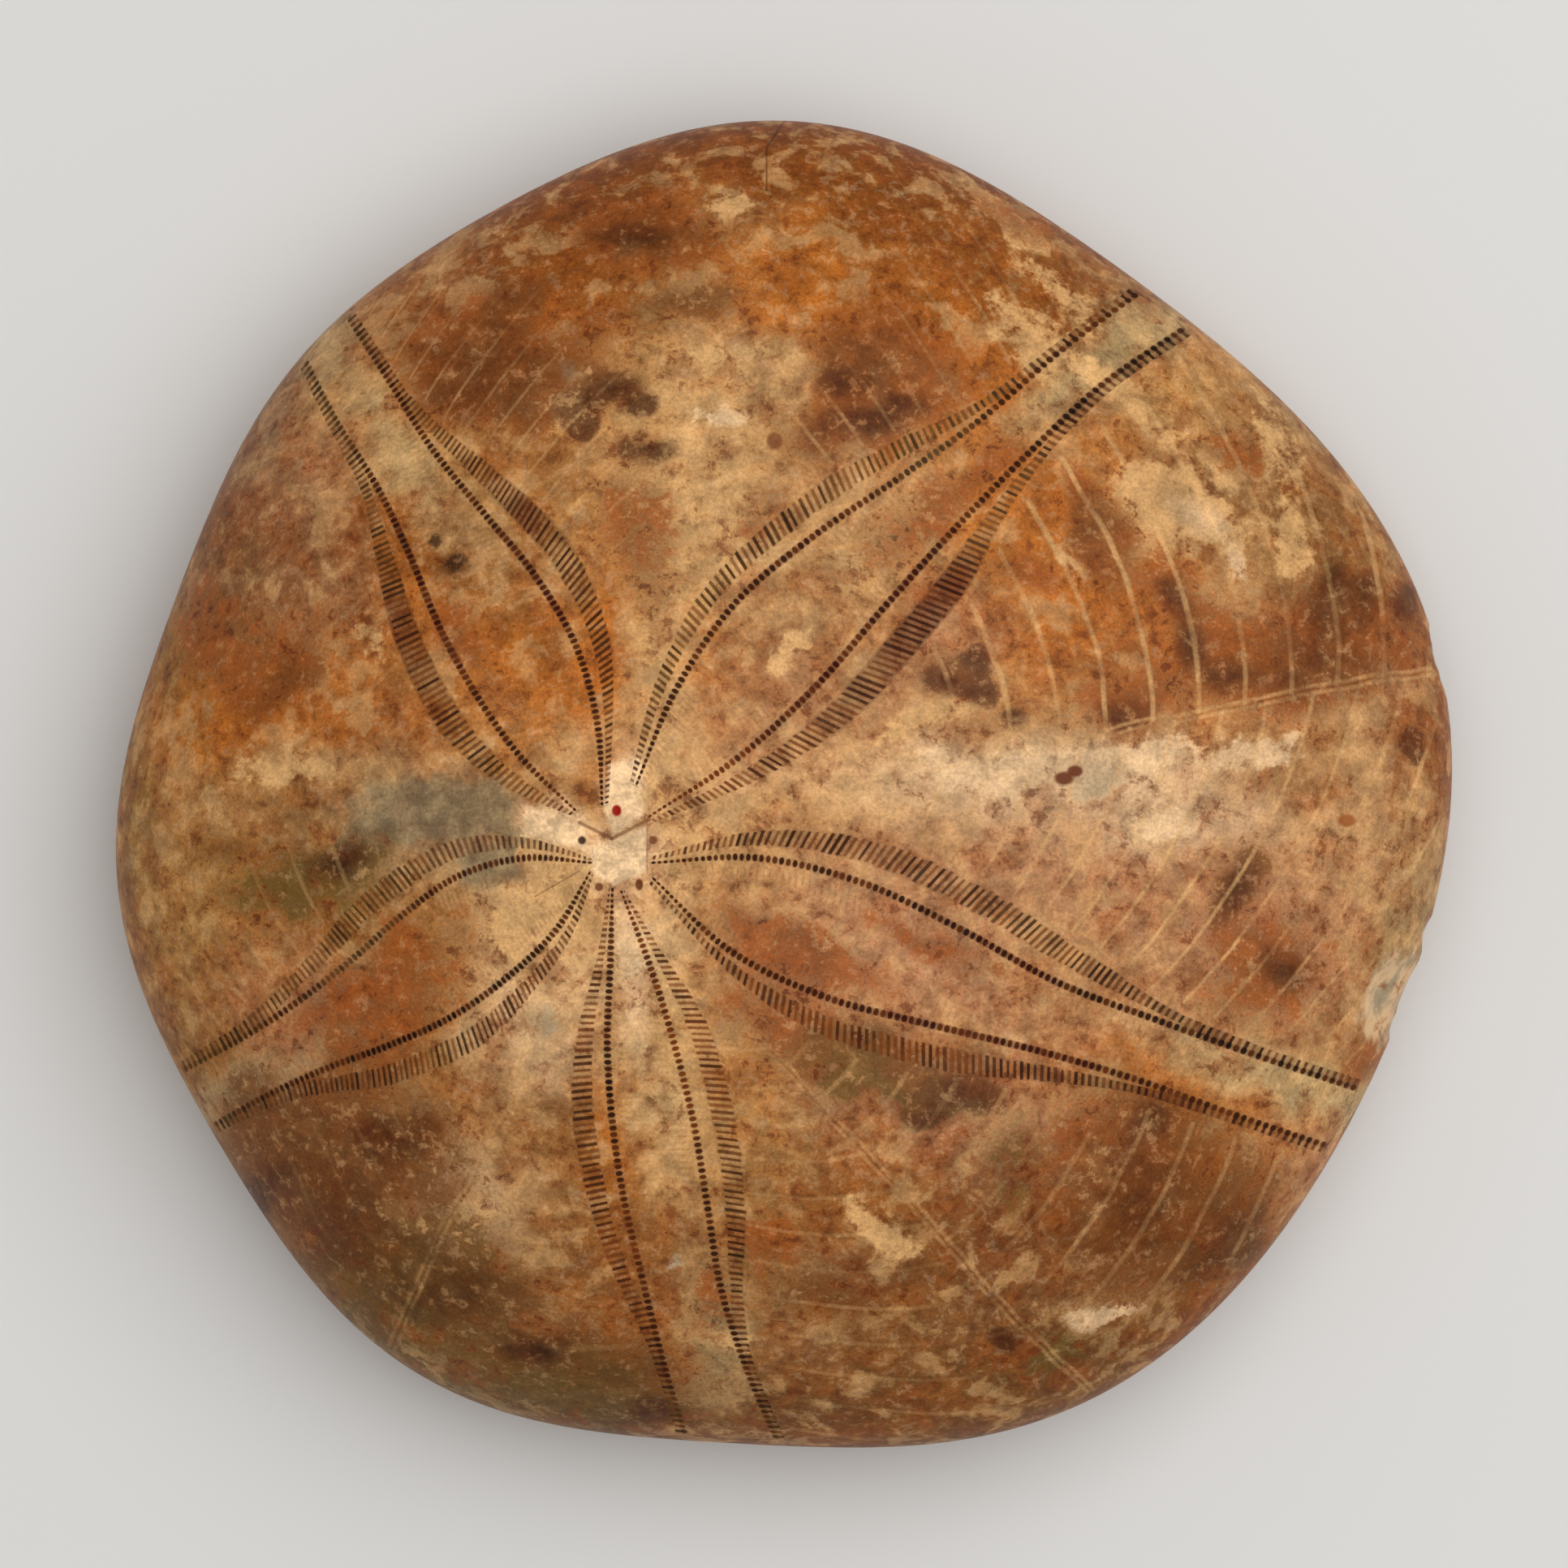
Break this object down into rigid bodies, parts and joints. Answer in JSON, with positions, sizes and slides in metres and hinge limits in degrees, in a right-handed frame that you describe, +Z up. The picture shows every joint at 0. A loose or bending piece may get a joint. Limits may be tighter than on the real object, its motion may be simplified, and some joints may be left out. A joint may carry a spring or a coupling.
{
  "type": "sand dollar fossil",
  "caption": "Polished fossil sand dollar: a low five-lobed domed stone with five petals of paired pore rows that meet off centre, and a slightly hollow underside it rests on.",
  "frame": {"origin": "under the middle of the outline, on the plane that the flat ring of the underside rests on", "axes": "+Z up out of the petalled side, +X towards the rear end of the shell, where the vent is"},
  "size_m": [0.085, 0.0844, 0.028],
  "materials": {
    "fossil_stone": "polished calcite, cream to orange brown with dark brown pores and a satin gloss"
  },
  "bodies": {
    "root": {"sand_dollar": "fossil_stone"}
  },
  "joints": []
}
